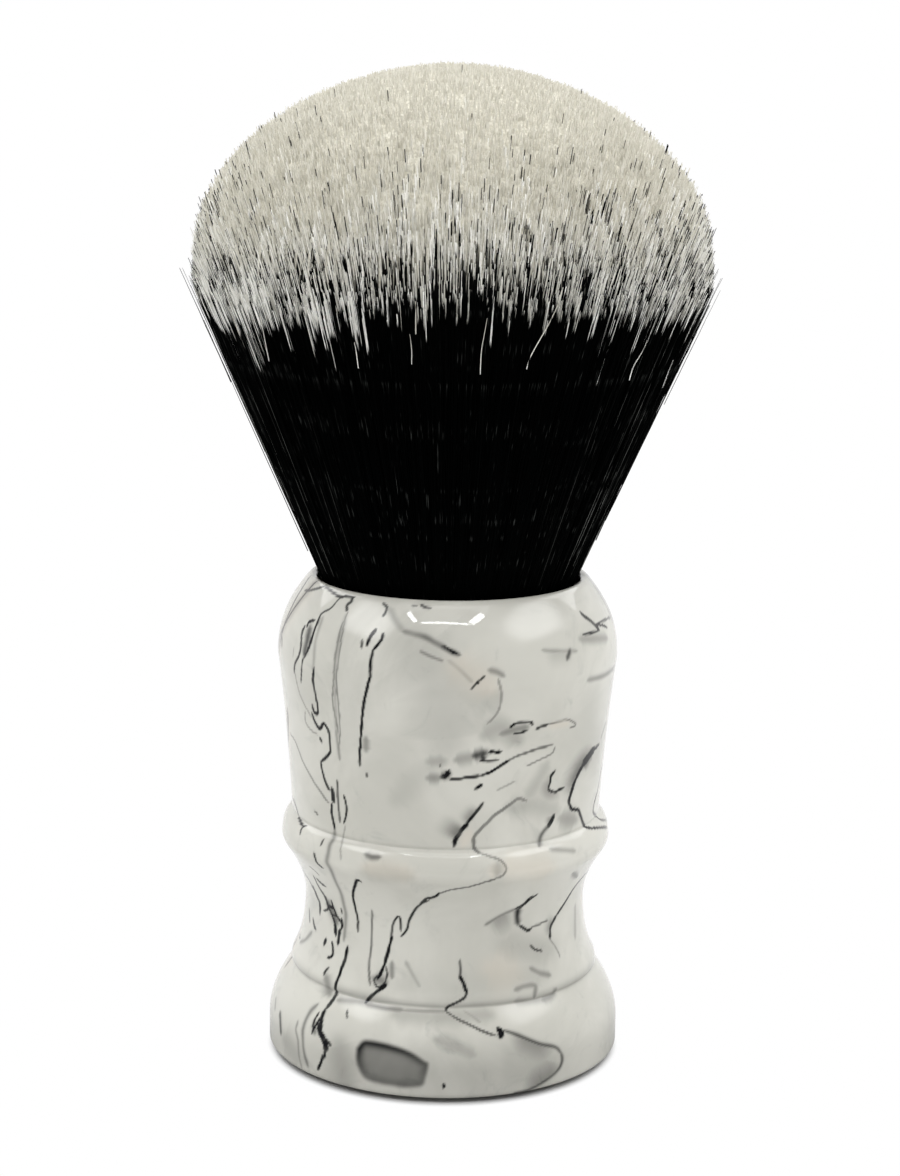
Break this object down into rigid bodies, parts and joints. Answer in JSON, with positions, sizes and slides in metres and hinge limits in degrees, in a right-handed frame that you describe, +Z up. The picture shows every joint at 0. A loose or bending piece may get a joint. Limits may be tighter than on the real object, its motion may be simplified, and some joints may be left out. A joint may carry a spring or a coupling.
{
  "type": "shaving brush",
  "caption": "Stand-up shaving brush: fan-shaped two-tone fibre knot glued into the socket of a turned, marbled resin handle with a flat foot.",
  "frame": {"origin": "centre of the foot, on the surface the brush stands on", "axes": "+Z up along the handle's turning axis towards the knot's crown; the view of the picture looks along +Y"},
  "size_m": [0.0586, 0.0586, 0.1157],
  "materials": {
    "marbled_resin": "polished off-white cast resin with grey and black marble veins",
    "clear_adhesive": "cured amber epoxy",
    "cast_plug": "cast off-white resin cup",
    "thread": "twisted off-white thread",
    "black_fibre": "straight glossy black-dyed fibres",
    "cream_fibre": "fine matte cream fibre tips, felt-like where they end in the dome"
  },
  "bodies": {
    "root": {"handle": "marbled_resin", "adhesive_bed": "clear_adhesive", "knot_plug": "cast_plug", "binding_thread": "thread", "fibre_shafts": "black_fibre", "fibre_tips": "cream_fibre"}
  },
  "joints": []
}
